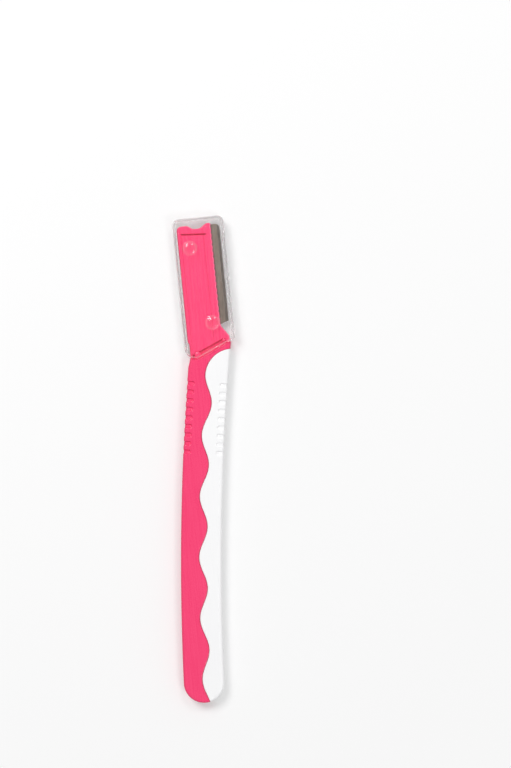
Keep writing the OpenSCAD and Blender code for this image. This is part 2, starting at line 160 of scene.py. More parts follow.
def roundedOutline(corners, inset=0.0, steps=8):
    # Closed outline through corners (x, y, radius), anticlockwise, drawn in by inset. A corner moves
    # along the sum m of its edge normals by inset * m / (1 + p.q), and is rounded by its radius less
    # the inset, or plus it at a hollow corner.
    leastRadius, fullest = 0.01, 0.95  # arcs fill up to this share of a side
    corners = np.asarray(corners, float)
    spots = corners[:, :2]
    p = spots - np.roll(spots, 1, 0)
    p /= np.linalg.norm(p, axis=1)[:, None]
    q = np.roll(p, -1, 0)
    normals = np.stack([-p[:, 1] - q[:, 1], p[:, 0] + q[:, 0]], 1)
    dots = (p * q).sum(1)
    moved = spots + inset * normals / (1 + dots)[:, None]
    bend = np.arctan2(p[:, 0] * q[:, 1] - p[:, 1] * q[:, 0], dots)
    hand = np.sign(bend)
    radius = np.maximum(corners[:, 2] - hand * inset, leastRadius)
    reach = radius * np.tan(np.abs(bend) / 2)
    sides = np.linalg.norm(moved - np.roll(moved, 1, 0), axis=1)
    room = sides / (reach + np.roll(reach, 1) + nearZero)
    radius *= np.minimum(1, fullest * np.minimum(room, np.roll(room, -1)))
    start = moved - (radius * np.tan(np.abs(bend) / 2))[:, None] * p
    middle = start + (hand * radius)[:, None] * np.stack([-p[:, 1], p[:, 0]], 1)
    first = np.arctan2(start[:, 1] - middle[:, 1], start[:, 0] - middle[:, 0])
    turn = first[:, None] + bend[:, None] * np.linspace(0, 1, steps + 1)[None, :]
    arc = middle[:, None, :] + radius[:, None, None] * np.stack([np.cos(turn), np.sin(turn)], 2)
    return arc.reshape(-1, 2)


def lengths(line):
    # Distance along a polyline to each of its points: the running sum of its steps.
    return np.concatenate([[0], np.cumsum(np.linalg.norm(np.diff(line, axis=0), axis=1))])


def along(line, stations):
    # Points of a polyline at given distances along it.
    run = lengths(line)
    return np.stack([np.interp(stations, run, line[:, i]) for i in range(2)], -1)


def distanceTo(points, line):
    # Least distance from each point to the segments of an open polyline, a few points at a time.
    atOnce = 4000
    flat = points.reshape(-1, 2)
    best = np.empty(len(flat))
    start, step = line[:-1], np.diff(line, axis=0)
    size = np.maximum((step * step).sum(1), nearZero)
    for k in range(0, len(flat), atOnce):
        some = flat[k:k + atOnce, None, :] - start[None]
        share = np.clip((some * step[None]).sum(2) / size, 0, 1)
        best[k:k + atOnce] = np.sqrt(((some - share[..., None] * step[None]) ** 2).sum(2)).min(1)
    return best.reshape(points.shape[:-1])


def smooth(t):
    # Soft step from 0 to 1: 3t^2 - 2t^3, flat outside.
    t = np.clip(t, 0, 1)
    return t * t * (3 - 2 * t)


def roundDrop(d, radius):
    # How far a rounded edge lies below its face at distance d from the edge: r - sqrt(r^2 - (r-d)^2).
    inner = np.clip(radius - d, 0, radius)
    return radius - np.sqrt(radius ** 2 - inner ** 2)


def quarter(radius, steps=5):
    # Insets r(1 - sin) and drops r(1 - cos) of a rounded edge, from its face to its wall.
    turn = np.linspace(0, math.pi / 2, steps + 1)
    return list(zip(radius * (1 - np.sin(turn)), radius * (1 - np.cos(turn))))


def uneven(low, high, pitch, fine, samples=6000):
    # Stations from low to high at a pitch, and at a finer pitch inside the given (start, end, pitch)
    # stretches: the step is looked up on a dense line and summed.
    line = np.linspace(low, high, samples)
    step = np.full(line.size, pitch)
    for a, b, small in fine:
        step[(line >= a) & (line <= b)] = small
    count = np.concatenate([[0], np.cumsum(np.diff(line) / step[1:])])
    return np.interp(np.linspace(0, count[-1], int(round(count[-1])) + 1), count, line)


def lifted(outline, z):
    # A flat outline at height z.
    return np.column_stack([outline, np.full(len(outline), z)])


def placed(name, data):
    # A new object in the scene.
    made = bpy.data.objects.new(name, data)
    bpy.context.scene.collection.objects.link(made)
    return made


class Moulding:
    # Points, each with a tint for the finishes, and faces of one piece in mm.

    def __init__(self):
        self.points, self.tints, self.quads, self.triangles, self.count = [], [], [], [], 0

    def add(self, points, tint=0.0):
        # Keeps points with their tint and gives their numbers.
        points = np.asarray(points, float).reshape(-1, 3)
        self.points.append(points)
        self.tints.append(np.broadcast_to(np.ravel(tint), len(points)))
        self.count += len(points)
        return np.arange(self.count - len(points), self.count)

    def join(self, index, closeCols=False):
        # Quads between neighbours of an index grid, round the end where it closes.
        a = np.hstack([index, index[:, :1]]) if closeCols else index
        corners = np.stack([a[:-1, :-1], a[:-1, 1:], a[1:, 1:], a[1:, :-1]], 2)
        self.quads.append(corners.reshape(-1, 4))
        return index

    def grid(self, places, tint=0.0, closeCols=False):
        # A grid of points, joined to their neighbours.
        places = np.asarray(places, float)
        return self.join(self.add(places, tint).reshape(places.shape[:2]), closeCols)

    def fill(self, outer, holes=(), upwards=True, flat=None):
        # Flat triangles inside a ring of points and outside the rings of its holes. A bent face comes
        # with its places unrolled to a plane.
        insideWithoutHoles, nearness = 2, 1e-7
        every = np.concatenate([outer, *holes])
        flat = np.vstack(self.points)[every][:, :2] if flat is None else flat
        starts = np.cumsum([0] + [len(ring) for ring in [outer, *holes]])
        rings = [list(range(a, b)) for a, b in zip(starts, starts[1:])]
        found = delaunay_2d_cdt(flat.tolist(), [], rings, insideWithoutHoles, nearness)
        source = np.array([same[0] for same in found[3]])
        faces = every[source[np.array(found[2])]]
        self.triangles.append(faces if upwards else faces[:, ::-1])

    def build(self, name, node, slot, body, material, sharp=38):
        # Points at one place are shared, and a face drops a corner that it has twice.
        decimals = 5
        points = np.round(np.vstack(self.points), decimals)
        points, first, same = np.unique(points, axis=0, return_index=True, return_inverse=True)
        same = same.reshape(-1)
        faces = []
        for part in self.quads + self.triangles:
            ends = same[part]
            whole = (ends != np.roll(ends, 1, 1)).all(1)
            folded = [list(dict.fromkeys(face)) for face in ends[~whole].tolist()]
            faces += ends[whole].tolist()
            faces += [face for face in folded if len(face) > 2]
        mesh = bpy.data.meshes.new(name)
        mesh.from_pydata((points * mm).tolist(), [], faces)
        work = bmesh.new()
        work.from_mesh(mesh)
        bmesh.ops.recalc_face_normals(work, faces=work.faces)
        loose = sum(1 for edge in work.edges if not edge.is_manifold)
        work.to_mesh(mesh)
        work.free()
        mesh.polygons.foreach_set("use_smooth", np.ones(len(mesh.polygons), bool))
        mesh.set_sharp_from_angle(angle=math.radians(sharp))
        shade = mesh.attributes.new("tint", "FLOAT", "POINT")
        shade.data.foreach_set("value", np.concatenate(self.tints)[first])
        mesh.materials.append(material)
        piece = placed(name, mesh)
        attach(piece, body)
        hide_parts(node)
        print(f"{name}: {len(mesh.polygons)} faces, {loose} open edges")


def ringStack(moulding, corners, levels, steps=8):
    # Rings of one outline at (inset, height) levels, which may also give a tint.
    return np.array([moulding.add(headPlace(lifted(roundedOutline(corners, inset, steps), z)), *tint)
                     for inset, z, *tint in levels])


def rimOf(index):
    # The border of an index grid as one closed ring.
    return np.concatenate([index[0], index[1:-1, -1], index[-1, ::-1], index[1:-1, 0][::-1]])


def turnedKnob(moulding, u, v, profile, tint=0.0, sides=56):
    # A profile of (radius, height) turned round its own axis; its last point is the pole.
    turn = np.linspace(0, 2 * math.pi, sides, endpoint=False)
    r, z = np.array(profile).T[:, :, None]
    places = np.dstack([u + r * np.cos(turn), v + r * np.sin(turn), z + 0 * turn])
    tint = np.broadcast_to(np.reshape(tint, (-1, 1)), places.shape[:2])
    return moulding.grid(headPlace(places), tint, closeCols=True)


def ballHeight(r, radius, rise, fillet=0.02):
    # Height of a spherical cap over radius r. It meets its foot softly: (sqrt(h^2 + f^2) + h) / 2.
    ball = (radius ** 2 + rise ** 2) / 2 / rise
    height = np.sqrt(ball ** 2 - r ** 2) - (ball - rise)
    return (np.sqrt(height ** 2 + fillet ** 2) + height) / 2


# Materials

class Socket:
    # A number on its way through a material. An operator on it adds a Math node.

    def __init__(self, maker, link):
        self.maker, self.link = maker, link

    def combine(self, operation, first, second):
        return self.maker.node("ShaderNodeMath", {"operation": operation}, {0: first, 1: second})

    def __add__(self, other):
        return self.combine("ADD", self, other)

    def __sub__(self, other):
        return self.combine("SUBTRACT", self, other)

    def __rsub__(self, other):
        return self.combine("SUBTRACT", other, self)

    def __mul__(self, other):
        return self.combine("MULTIPLY", self, other)

    def __or__(self, other):
        return self.combine("MAXIMUM", self, other)  # the larger of the two

    __radd__, __rmul__, __ror__ = __add__, __mul__, __or__  # either order gives the same


class Nodes:
    # A tree of nodes. A new node takes its type, its settings and its sockets' values or links.

    def __init__(self, tree):
        self.tree = tree

    def node(self, kind, settings=None, values=None, output=0):
        made = self.tree.nodes.new(kind)
        for key, value in (settings or {}).items():
            setattr(made, key, value)
        for key, value in (values or {}).items():
            if isinstance(value, Socket):
                self.tree.links.new(value.link, made.inputs[key])
            else:
                made.inputs[key].default_value = value
        return Socket(self, made.outputs[output])

    def rays(self, *kinds):
        # Whether the ray is a camera, diffuse, glossy or transmission ray, each 0 or 1.
        outputs = {"camera": 0, "diffuse": 2, "glossy": 3, "transmission": 6}
        return [self.node("ShaderNodeLightPath", output=outputs[kind]) for kind in kinds]


class Finish(Nodes):
    # A material with its Principled shader. Constants are set on the shader's own sockets.

    def __init__(self, name, constants):
        self.material = bpy.data.materials.new(name)
        self.material.use_nodes = True
        super().__init__(self.material.node_tree)
        self.shader = self.tree.nodes["Principled BSDF"]
        for socket, value in constants.items():
            self.shader.inputs[socket].default_value = value

    def feed(self, socket, value):
        # Links a changing value to a socket of the shader.
        self.tree.links.new(value.link, self.shader.inputs[socket])

    def coordinates(self, stretch=None):
        # Object coordinates in mm, with a stretch (across, along) turned with the head and scaled.
        place = self.node("ShaderNodeTexCoord", output=3)
        across, lengthways = stretch or (1, 1)
        return self.node("ShaderNodeMapping", {"vector_type": "TEXTURE"}, {
            "Vector": place, "Rotation": (0, 0, tilt if stretch else 0),
            "Scale": (mm / across, mm / lengthways, mm)})

    def noise(self, waves, detail, rough=0.5, stretch=None):
        # Soft noise with this many waves a mm, and finer layers by detail.
        return self.node("ShaderNodeTexNoise", {"noise_dimensions": "3D"}, {
            "Vector": self.coordinates(stretch), "Scale": waves, "Detail": detail, "Roughness": rough})

    def mixColours(self, share, low, high):
        # From the colour low at 0 to high at 1.
        ends = [end if isinstance(end, Socket) else (*end, 1) for end in (low, high)]
        return self.node("ShaderNodeMix", {"data_type": "RGBA"}, {0: share, 6: ends[0], 7: ends[1]}, output=2)

    def ranged(self, value, low, high, toLow, toHigh):
        # A value from low to high moved to the range toLow to toHigh, and held at its ends.
        return self.node("ShaderNodeMapRange", {"clamp": True}, {
            "Value": value, "From Min": low, "From Max": high, "To Min": toLow, "To Max": toHigh})

    def tint(self):
        # The tint that the points of a piece carry.
        return self.node("ShaderNodeAttribute", {"attribute_name": "tint"}, output=2)

    def bump(self, height, strength, distance):
        # Small relief, whose full height is distance in mm.
        self.feed("Normal", self.node("ShaderNodeBump", {}, {
            "Height": height, "Strength": strength, "Distance": distance * mm}))


def blended(first, second, share):
    # Two patterns in one: first * share + second * (1 - share).
    return first * share + second * (1 - share)


noiseSpan = (0.3, 0.7)  # where most of a noise's values lie
moulded = {
    "flow": 2.4, "flowStretch": (1, 0.045), "mottle": 0.09, "grain": 6.0, "tintShare": 0.9,
    "glossGrain": 0.6, "bumpGrain": 0.25, "bump": (0.25, 0.02),
}
# In both looks, line is the colour of painted shade and of the partly real seam line, and the light colour
# after it is that of a painted highlight
pinkLook = {
    "colour": (0.97, 0.06, 0.19), "deep": (0.935, 0.046, 0.168), "line": (0.52, 0.014, 0.07),
    "paintedEdgeLight": (0.99, 0.16, 0.32), "roughness": (0.22, 0.33), "streaks": 0.6,
}
whiteLook = {
    "colour": (0.955, 0.955, 0.96), "deep": (0.93, 0.93, 0.94), "line": (0.9, 0.86, 0.87),
    "paintedEdgeLight": (0.97, 0.97, 0.97), "roughness": (0.25, 0.36), "streaks": 0.4,
}


def plasticFinish(name, look):
    # Moulded plastic: long streaks and a soft mottle move the colour, and a fine grain and the streaks
    # break the gloss. The tint is painted shade up to 1, in crevices, along edges, under the cap's mouth and
    # in the seam line, which is partly the real joint; at -1 it is a painted highlight.
    finish = Finish(name, {"IOR": 1.5, "Specular IOR Level": 0.5})
    flow = finish.noise(moulded["flow"], 4, stretch=moulded["flowStretch"])
    mottle = finish.noise(moulded["mottle"], 2)
    share = finish.ranged(blended(flow, mottle, look["streaks"]), *noiseSpan, 0, 1)
    tint = finish.tint()
    body = finish.mixColours(share, look["deep"], look["colour"])
    # Painted shade pulls the colour towards the line colour, and a painted highlight towards the light edge
    # colour
    dark = finish.mixColours(tint * moulded["tintShare"], body, look["line"])
    finish.feed("Base Color", finish.mixColours(tint * -moulded["tintShare"], dark, look["paintedEdgeLight"]))
    grain = finish.noise(moulded["grain"], 2)
    gloss = blended(grain, flow, moulded["glossGrain"])
    finish.feed("Roughness", finish.ranged(gloss, *noiseSpan, *look["roughness"]))
    finish.bump(blended(grain, flow, moulded["bumpGrain"]), *moulded["bump"])
    return finish.material


steelLook = {
    "strip": ((0.22, 0.18, 0.15), (0.35, 0.295, 0.25)),
    "ground": ((0.22, 0.19, 0.165), (0.34, 0.30, 0.27)),
    "brush": 9.0, "brushStretch": (1, 0.02), "cross": 14.0, "crossStretch": (0.05, 1), "blotch": 0.35,
    "brushShare": 0.7, "toneSpan": (0.35, 0.65), "grindBlur": 0.03,
    "roughness": (0.34, 0.5), "groundGloss": 0.12, "bump": (0.3, 0.006),
}


def steelFinish(name, look):
    # Strip steel brushed along the blade. Past the grind line the brush marks run across and the
    # metal is smoother.
    finish = Finish(name, {"Metallic": 1.0, "IOR": 2.5})
    brushed = finish.noise(look["brush"], 6, 0.65, look["brushStretch"])
    crossed = finish.noise(look["cross"], 4, 0.6, look["crossStretch"])
    blotch = finish.noise(look["blotch"], 3)
    across = finish.node("ShaderNodeSeparateXYZ", {}, {"Vector": finish.coordinates((1, 1))})
    grindLine = footX * cosT + footY * sinT + edgeU - blade["grind"]
    ground = finish.ranged(across, grindLine - look["grindBlur"], grindLine + look["grindBlur"], 0, 1)
    tone = finish.ranged(blended(brushed, blotch, look["brushShare"]), *look["toneSpan"], 0, 1)
    strip = finish.mixColours(tone, *look["strip"])
    edge = finish.mixColours(crossed, *look["ground"])
    finish.feed("Base Color", finish.mixColours(ground, strip, edge))
    dull = finish.ranged(brushed, *noiseSpan, *look["roughness"])
    finish.feed("Roughness", dull - ground * look["groundGloss"])
    finish.bump(blended(crossed, brushed, ground), *look["bump"])
    return finish.material


clearLook = {
    "constants": {"Transmission Weight": 0.82, "IOR": 1.9, "Specular IOR Level": 0.9,
                  "Base Color": (0.99, 0.975, 0.978, 1)},
    "edgeSpan": (0.3, 0.95), "alpha": (0.04, 0.74), "ripple": 0.45, "rippleStretch": (1, 0.15),
    "roughness": (0.04, 0.08), "bump": (0.02, 0.03),
}


def clearFinish(name, look):
    # Clear moulded plastic. Its flat faces let nearly all light straight through. Its walls and domes,
    # which the tint marks, and what is seen at a low angle bend and mirror. Faint ripples dull it.
    finish = Finish(name, look["constants"])
    facing = finish.node("ShaderNodeLayerWeight", {}, {"Blend": 0.5}, output=1)
    bent = finish.tint() | finish.ranged(facing, *look["edgeSpan"], 0, 1)
    finish.feed("Alpha", finish.ranged(bent, 0, 1, *look["alpha"]))
    ripple = finish.noise(look["ripple"], 2, stretch=look["rippleStretch"])
    finish.feed("Roughness", finish.ranged(ripple, *noiseSpan, *look["roughness"]))
    finish.bump(ripple, *look["bump"])
    return finish.material


pinkPlastic = plasticFinish("pink_plastic_gloss", pinkLook)
whitePlastic = plasticFinish("white_plastic_gloss", whiteLook)
bladeSteel = steelFinish("blade_steel_brushed", steelLook)
clearPlastic = clearFinish("clear_plastic_gloss", clearLook)
print("finishes made")


# The two mouldings of the handle, each a strip between the wave-shaped seam and the handle's outline

# The seam's dark line, of width line, is partly the real joint between the two mouldings and partly painted
# shade
wave = {
    "start": 100.5, "pitch": 18.7, "rise": 1.25, "shift": 0.45, "drift": 0.5,
    "lobeRadius": 8.4, "lobeDrop": 0.9, "lobeTurn": (80, 180),
    "grooveWidth": 0.2, "gap": 0.008, "line": 0.26, "lineCore": 1.3,
}


def arcHeight(y):
    # Height along the bow's arc of a height on its chord: mid + R asin((y - mid) / R).
    return bowMiddle + bowRadius * math.asin((y - bowMiddle) / bowRadius)


def bowEdge(height, side):
    # Point on an edge of the handle: the arc's point moved by half the width along its normal.
    angle = (np.asarray(height) - bowMiddle) / bowRadius
    reach = bowRadius - side * half
    return np.stack([bowRadius - reach * np.cos(angle), bowMiddle + reach * np.sin(angle)], -1)


def bowOffset(points):
    # How far points lie right of the middle line, R - |p - centre|, and their height along its arc.
    dx, dy = bowRadius - points[..., 0], points[..., 1] - bowMiddle
    return bowRadius - np.hypot(dx, dy), bowMiddle + bowRadius * np.arctan2(dy, dx)


def waist(height):
    # Depth of the waist in the left edge: a shallow bowl, 1 - t^2.
    t = (height - handle["waistHeight"]) / handle["waistHalf"]
    return handle["waistDepth"] * np.clip(1 - t ** 2, 0, 1)


def waveX(y):
    # The wave: the bow, a shift and drift to the right and a cosine of its pitch.
    down = wave["start"] - y
    return (bowX(y) + wave["shift"] + wave["drift"] * down / wave["start"]
            - wave["rise"] * np.cos(2 * math.pi * down / wave["pitch"]))


endHeight = arcHeight(handle["width"] / 2)
endMiddle = bowEdge(endHeight, 0)
lobeY = wave["start"] - wave["lobeDrop"]
lobeX = waveX(lobeY) + wave["lobeRadius"]

# The seam runs from where the large arc meets the right edge, round that arc and down the wave to
# where it meets the round end. It is kept from the round end up.
turn = np.radians(np.linspace(*wave["lobeTurn"], 800))
lobe = np.stack([lobeX + wave["lobeRadius"] * np.cos(turn), lobeY + wave["lobeRadius"] * np.sin(turn)], 1)
lobe = lobe[np.argmax(bowOffset(lobe)[0] < half):]
low = np.linspace(lobeY, 0, 5000)[1:]
down = np.stack([waveX(low), low], 1)
past = (down[:, 1] < endMiddle[1]) & (np.hypot(*(down - endMiddle).T) > half)
seam = np.vstack([lobe, down[:np.argmax(past)]])[::-1]
tip, pole = seam[-1], seam[0]

# The line at the cap's mouth, round its lower corners, is cut off at the handle's edges
capCorners = [[capLeft, mouthV(capLeft), cap["mouthCorner"]], [capRight, mouthV(capRight), cap["heelCorner"]],
              [capRight, capTop, cap["corner"]], [capLeft, capTop, cap["corner"]]]
mouthSteps = 60
mouth = roundedOutline(capCorners, -cap["mouthGap"], mouthSteps)[:2 * (mouthSteps + 1)]
mouth = np.stack(onDrawing(*mouth.T), 1)
mouth = along(mouth, np.linspace(0, lengths(mouth)[-1], 1500))
off, height = bowOffset(mouth)
mouth = mouth[(off > -half + waist(height)) & (off < half)][::3]


def endArc(start, stop):
    # The round end's outline between two points, clockwise.
    a, b = (math.atan2(*(p - endMiddle)[::-1]) for p in (start, stop))
    turn = np.linspace(a, b - 2 * math.pi if b > a else b, 300)
    return endMiddle + half * np.stack([np.cos(turn), np.sin(turn)], 1)


def edgeLine(side, low, high):
    # The handle's edge on one side between two heights, less the waist on the left.
    heights = np.linspace(low, high, 1500)
    line = bowEdge(heights, side)
    if side < 0:
        line[:, 0] += waist(heights)
    return line


rightLine = edgeLine(1, endHeight, bowOffset(tip)[1])
leftLine = edgeLine(-1, endHeight, bowOffset(mouth[0])[1])
shortRight = edgeLine(1, bowOffset(mouth[-1])[1], bowOffset(tip)[1])
whiteOutline = np.vstack([endArc(rightLine[0], pole)[::-1], rightLine[1:]])
pinkParts = [endArc(pole, leftLine[0]), leftLine[1:], mouth, shortRight[1:]]
pinkOutline = np.vstack(pinkParts)
for outline in (whiteOutline, pinkOutline):
    outline[0], outline[-1] = pole, tip

# shade: strength of the painted shade on each notch's upper wall, which the light from above leaves in shade
grips = {
    "count": 9, "pitch": 2.6, "start": 97.1, "length": 2.4, "width": 1.4,
    "upperWall": 0.16, "lowerWall": 0.42, "sideBite": 0.17, "biteReach": 1.2, "shade": 0.3,
}


def gripDepth(places):
    # Depth share of the thumb notches: the distance inside a round-ended slot becomes a steep wall
    # above the notch and a gentle one below it. Also the distance in from the edge, and a share of painted
    # shade that peaks halfway down the upper wall, 4d(1 - d).
    off, height = bowOffset(places)
    inward = half - np.abs(off)
    first = arcHeight(grips["start"])
    step = np.clip(np.round((first - height) / grips["pitch"]), 0, grips["count"] - 1)
    rise = height - (first - step * grips["pitch"])
    end = grips["width"] / 2
    inside = end - np.hypot(np.maximum(inward - grips["length"] + end, 0), rise)
    upper = smooth(rise / end / 2 + 0.5)
    wall = grips["lowerWall"] + (grips["upperWall"] - grips["lowerWall"]) * upper
    depth = smooth(inside / wall)
    return depth, inward, 4 * depth * (1 - depth) * upper


def handleFront(places, notchDepth):
    # Height of the handle's front: flat, rounded towards its edges, cut by the thumb notches.
    off, height = bowOffset(places)
    side = half - np.abs(off) - np.where(off < 0, waist(height), 0)
    end = half - np.hypot(places[..., 0] - endMiddle[0], places[..., 1] - endMiddle[1])
    side = np.maximum(np.where(height < endHeight, end, side), 0)
    mouthDrop = roundDrop(distanceTo(places, mouth), handle["mouthEdge"])
    drop = np.maximum(roundDrop(side, handle["edge"]), mouthDrop)
    return handle["thickness"] - np.maximum(drop, gripDepth(places)[0] * notchDepth)


def keyAt(line, y):
    # Distance along a line to its first point at height y or above.
    return lengths(line)[np.argmax(line[:, 1] >= y)]


# Rows of a moulding along its outline, and columns by their distance from the seam and the outline
rows = {"pitch": 0.42, "gripPitch": 0.13, "footPitch": 0.1, "tipPitch": 0.08, "endReach": 2.5,
        "cornerPitch": 0.1, "cornerReach": 0.6, "firstKey": 9}
columns = {
    "lip": (0, 0.03, 0.07, 0.14, 0.4), "middle": 6, "narrow": 0.8, "wall": 4,
    "rim": (2.8, 2.5, 2.35, 2.2, 2.05, 1.9, 1.7, 1.45, 1.2, 1.0, 0.8, 0.6, 0.42, 0.28, 0.16, 0.07, 0.02, 0),
}


def halfHandle(form):
    # One moulding: rows run from the seam to the outline, and each goes over the front, down the
    # edge, back under and up the seam. Near both rims the columns sit at fixed distances.
    outline, corners = form["outline"], form["corners"]
    run = lengths(outline)
    outlineKeys = [0, keyAt(outline, rows["firstKey"]), keyAt(outline, lobeY), run[-1]]
    seamKeys = [0, keyAt(seam, rows["firstKey"]), keyAt(seam, lobeY), lengths(seam)[-1]]
    firstGrip = grips["start"] + grips["width"]
    lastGrip = grips["start"] - (grips["count"] - 1) * grips["pitch"] - grips["width"]
    fine = [(keyAt(outline, lastGrip), keyAt(outline, firstGrip), rows["gripPitch"]),
            (0, rows["endReach"], rows["footPitch"]),
            (run[-1] - rows["endReach"], run[-1], rows["tipPitch"])]
    fine += [(at - rows["cornerReach"], at + rows["cornerReach"], rows["cornerPitch"]) for at in corners]
    stations = np.concatenate([uneven(0, run[-1], rows["pitch"], fine), outlineKeys, corners])
    stations = np.unique(stations)
    outer = along(outline, stations)
    inner = along(seam, np.interp(stations, outlineKeys, seamKeys))
    width = np.maximum(np.linalg.norm(outer - inner, axis=1), nearZero)[:, None]
    aim = (outer - inner) / width
    lip, rim = np.array(columns["lip"]), np.array(columns["rim"])
    shrink = np.minimum(1, width / (rim[0] + lip[-1] + columns["narrow"]))
    free = width - (rim[0] + lip[-1]) * shrink
    span = np.linspace(0, 1, columns["middle"] + 2)[1:-1]
    places = np.hstack([lip * shrink, lip[-1] * shrink + free * span, width - rim * shrink])
    flat = inner[:, None, :] + places[..., None] * aim[:, None, :]
    seamGroove = form["groove"] * np.clip(1 - places / wave["grooveWidth"], 0, 1) ** 2
    top = handleFront(flat, form["notchDepth"]) - seamGroove
    depth, inward, upperWallShade = gripDepth(flat)
    bite = grips["sideBite"] * depth * smooth(1 - inward / grips["biteReach"])
    flat[..., 0] += form["inwards"] * (bite - wave["gap"] * np.clip(1 - places, 0, 1))
    front = np.dstack([flat, top])
    front[[0, -1]] = front[[0, -1], :1]
    back = front[:, ::-1] * [1, 1, -1] + [0, 0, handle["thickness"]]
    share = np.linspace(0, 1, columns["wall"] + 2)[1:-1, None]
    side = front[:, -1:] + share * (back[:, :1] - front[:, -1:])
    inside = back[:, -1:] + share * (front[:, :1] - back[:, -1:])
    inside[[0, -1]] = side[[0, -1], ::-1]
    # The tint is the strongest painted shade: along the seam, where the dark line is partly the real joint,
    # at the outline's rounded edge, on the notches' upper walls and below the cap's mouth
    seamShade = np.clip(wave["lineCore"] - places / wave["line"], 0, 1)
    rimShade = form["edgeShade"] * np.clip(1 - (width - places) / handle["edgeLine"], 0, 1)
    mouthShade = handle["mouthShade"] * np.clip(1 - distanceTo(flat, mouth) / handle["mouthLine"], 0, 1)
    paintedShadeAndSeam = np.maximum.reduce([seamShade, rimShade, grips["shade"] * upperWallShade, mouthShade])
    paintedShadeAndSeam[[0, -1]] = 1
    # The side wall carries the edge's painted shade, and the faces against the other half are painted fully
    # dark as shade between the parts
    sideShade, insideShade = np.full(side.shape[:2], form["edgeShade"]), np.ones(inside.shape[:2])
    tint = np.hstack([paintedShadeAndSeam, sideShade, paintedShadeAndSeam[:, ::-1], insideShade])
    return np.concatenate([front, side, back, inside], 1), tint


# edgeShade: strength of the painted shade on each moulding's rounded outer edge and side wall
mouldings = {
    "handle_body": {
        "finish": pinkPlastic, "slot": "pink_plastic", "outline": pinkOutline, "inwards": 1,
        "corners": np.cumsum([lengths(part)[-1] for part in pinkParts])[1:-1],
        "groove": 0.16, "notchDepth": 0.45, "edgeShade": 0.6},
    "handle_wave": {
        "finish": whitePlastic, "slot": "white_plastic", "outline": whiteOutline, "inwards": -1,
        "corners": [],
        "groove": 0.04, "notchDepth": 0.27, "edgeShade": 0},
}
for node, form in mouldings.items():
    shape, tint = halfHandle(form)
    moulding = Moulding()
    moulding.grid(shape + [originX, originY, 0], tint, closeCols=True)
    moulding.build(node + "_grip", node, form["slot"], "razor", form["finish"])


# The head: a plate with rounded edges, a pocket for the cover, a slot above it and a diagonal groove

cover = {
    "left": 1.2, "width": 6.8, "fit": 0.02, "lift": 0.01, "edge": 0.1, "sideEdge": 0.03,
    "slotDrop": 2.3, "slotWidth": 0.5, "slotSlant": 4.0, "slotReach": 0.75,
    "recessRadii": (0.15, 0.02, 0.3, 0.53, 0.53, 0.2, 0.05, 0.2, 0.2, 0.2),
    "ribs": 4, "ribWidth": 1.1, "ribRise": 0.035, "ribEnd": 0.6, "bossRoom": 1.05,
    "rim": (0, 0.015, 0.05, 0.12), "plain": 0.2, "columns": 78,
    "rowPitch": 0.012, "endPitch": 0.001, "endReach": 0.02,
}


def coverV(u):
    # The cover's foot: the groove's upper side.
    return grooveV(u) + groove["width"] / 2 * secant


def slotV(u):
    # Upper side of the slot above the cover: straight, at a slant of its own.
    fall = (u - cover["left"]) * math.tan(math.radians(cover["slotSlant"]))
    return head["height"] - cover["slotDrop"] - fall


def headCorners():
    # The head's outline: its foot inside the handle, the shoulder, the notched blade side and the
    # two humps at its top.
    w, top, neck = head["width"], head["height"], handle["waistDepth"]
    crest, dip = top + head["peak"], top - head["dip"]
    out, deep = w + head["shoulder"], w - head["notchDepth"]
    foot = [(neck, -groove["low"] - half / 2), (out - head["footIn"], mouthV(out) - head["footDrop"]),
            (out, head["shoulderLow"] * head["shoulderTop"]), (w, head["shoulderTop"])]
    length, lean = head["notchLength"], head["notchLean"]
    notch = np.column_stack([[w, deep, deep, w], [0, lean, length - lean, length], head["notchRadii"]])
    starts = head["notchStart"] + (0.5 + np.arange(head["notches"])) * head["notchPitch"]
    notches = notch + starts[:, None, None] * [0, 1, 0]
    (right, left), (dipRight, dipLeft) = (w * np.array(head[key]) for key in ("humps", "dips"))
    crown = [(w, crest), (right, crest), (dipRight, dip), (dipLeft, dip), (left, top), (0, top),
             (0, 0), (neck, -2 * neck)]
    return np.vstack([np.column_stack([foot, head["footRadii"]]), notches.reshape(-1, 3),
                      np.column_stack([crown, head["crownRadii"]])])


def recessCorners():
    # Pocket, slot and groove in one outline: the pocket's lower edge runs along the groove's middle,
    # and the groove's ends are rounded.
    wide = groove["width"] / 2
    left, right = cover["left"] - cover["fit"], cover["left"] + cover["width"] + cover["fit"]
    run = np.array([math.cos(slantAngle), math.sin(slantAngle)])
    up = np.array([-run[1], run[0]])
    a, b = (np.array([u, grooveV(u)]) for u in (groove["left"], groove["right"]))
    slotEnd = right + cover["slotReach"]
    spots = [(left, grooveV(left)), a - wide * run, a - wide * (run + up), b + wide * (run - up),
             b + wide * (run + up), (right, coverV(right)), (right, slotV(right) - cover["slotWidth"]),
             (slotEnd, slotV(slotEnd) - cover["slotWidth"]), (slotEnd, slotV(slotEnd)), (left, slotV(left))]
    return np.column_stack([spots, cover["recessRadii"]])


